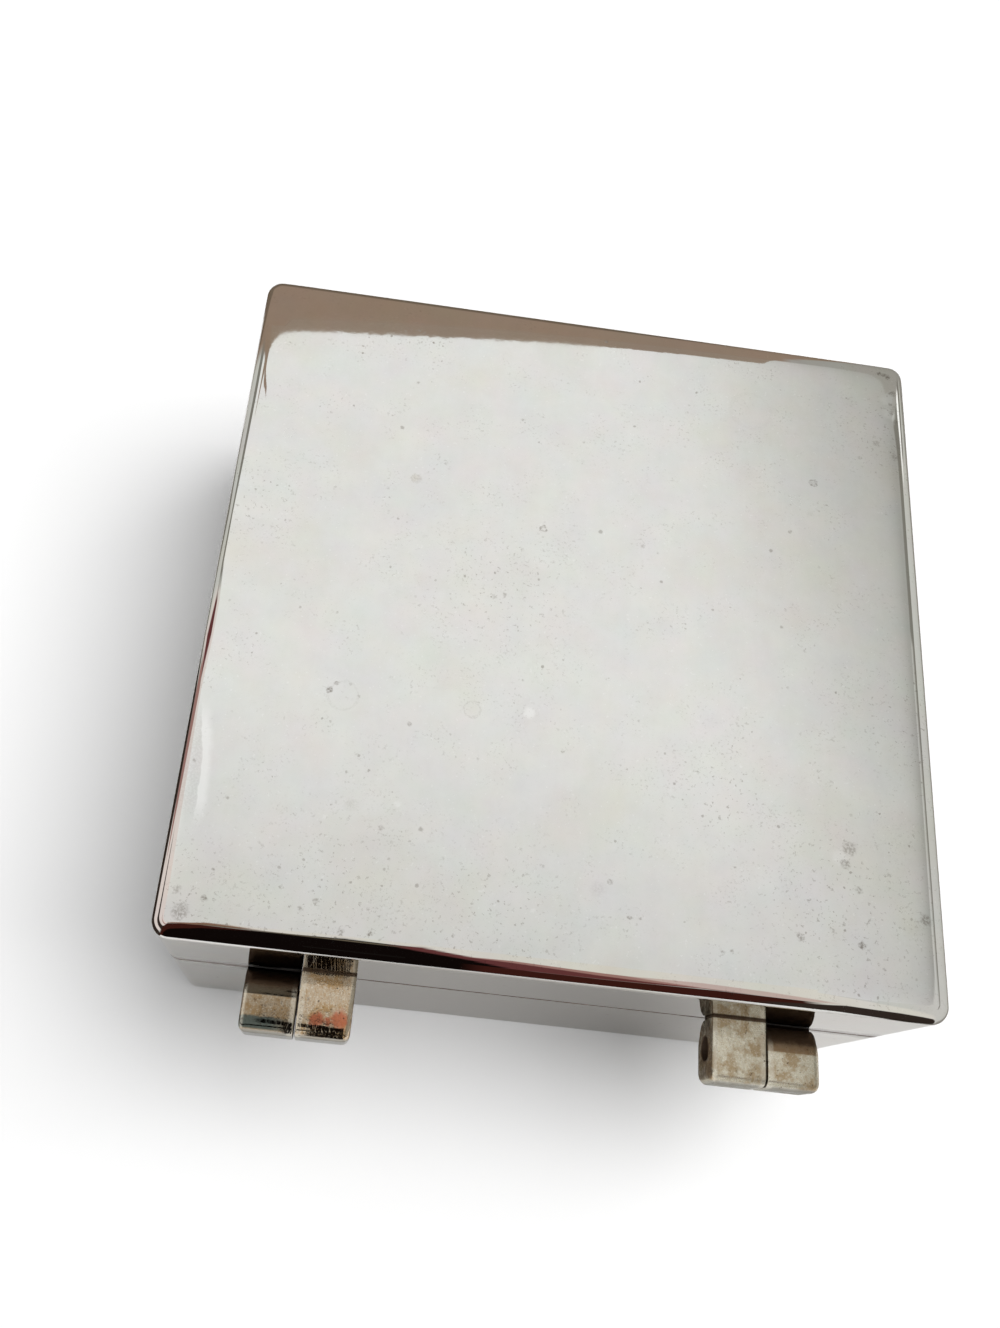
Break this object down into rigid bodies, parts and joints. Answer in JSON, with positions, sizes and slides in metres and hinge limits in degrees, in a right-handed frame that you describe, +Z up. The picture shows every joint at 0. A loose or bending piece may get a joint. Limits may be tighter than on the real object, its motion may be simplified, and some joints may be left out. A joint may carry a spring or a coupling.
{
  "type": "trinket box",
  "caption": "Square hinged trinket box: plated metal base and lid with block hinges at the back, wood-lined inside, felt pad underneath.",
  "frame": {"origin": "centre of the underside, where the felt pad rests", "axes": "+Z up through the lid, +Y towards the hinges at the back, +X to the right seen from the front"},
  "size_m": [0.1, 0.1085, 0.0488],
  "materials": {
    "plated_shell": "mirror-polished nickel or silver plate, lightly pitted and stained",
    "plated_hinge": "worn plate with a yellow-brown patina",
    "hinge_pin": "dull dark steel",
    "lining_wood": "thin oiled hardwood boards, satin",
    "felt": "pressed wool felt"
  },
  "bodies": {
    "base": {"felt_pad": "felt", "base_shell": "plated_shell", "base_lining_floor": "lining_wood", "base_lining_front": "lining_wood", "base_lining_back": "lining_wood", "base_lining_left": "lining_wood", "base_lining_right": "lining_wood", "base_knuckle_left": "plated_hinge", "base_knuckle_right": "plated_hinge", "hinge_pin_left": "hinge_pin", "hinge_pin_right": "hinge_pin"},
    "lid": {"lid_shell": "plated_shell", "lid_lining_panel": "lining_wood", "lid_lining_front": "lining_wood", "lid_lining_back": "lining_wood", "lid_lining_left": "lining_wood", "lid_lining_right": "lining_wood", "lid_knuckle_left": "plated_hinge", "lid_knuckle_right": "plated_hinge"}
  },
  "joints": [
    {"name": "lid_hinge", "type": "hinge", "parent": "base", "child": "lid", "pos_m": [0, 0.054, 0.0303], "axis": [-1, 0, 0], "range_deg": [0, 94]}
  ]
}
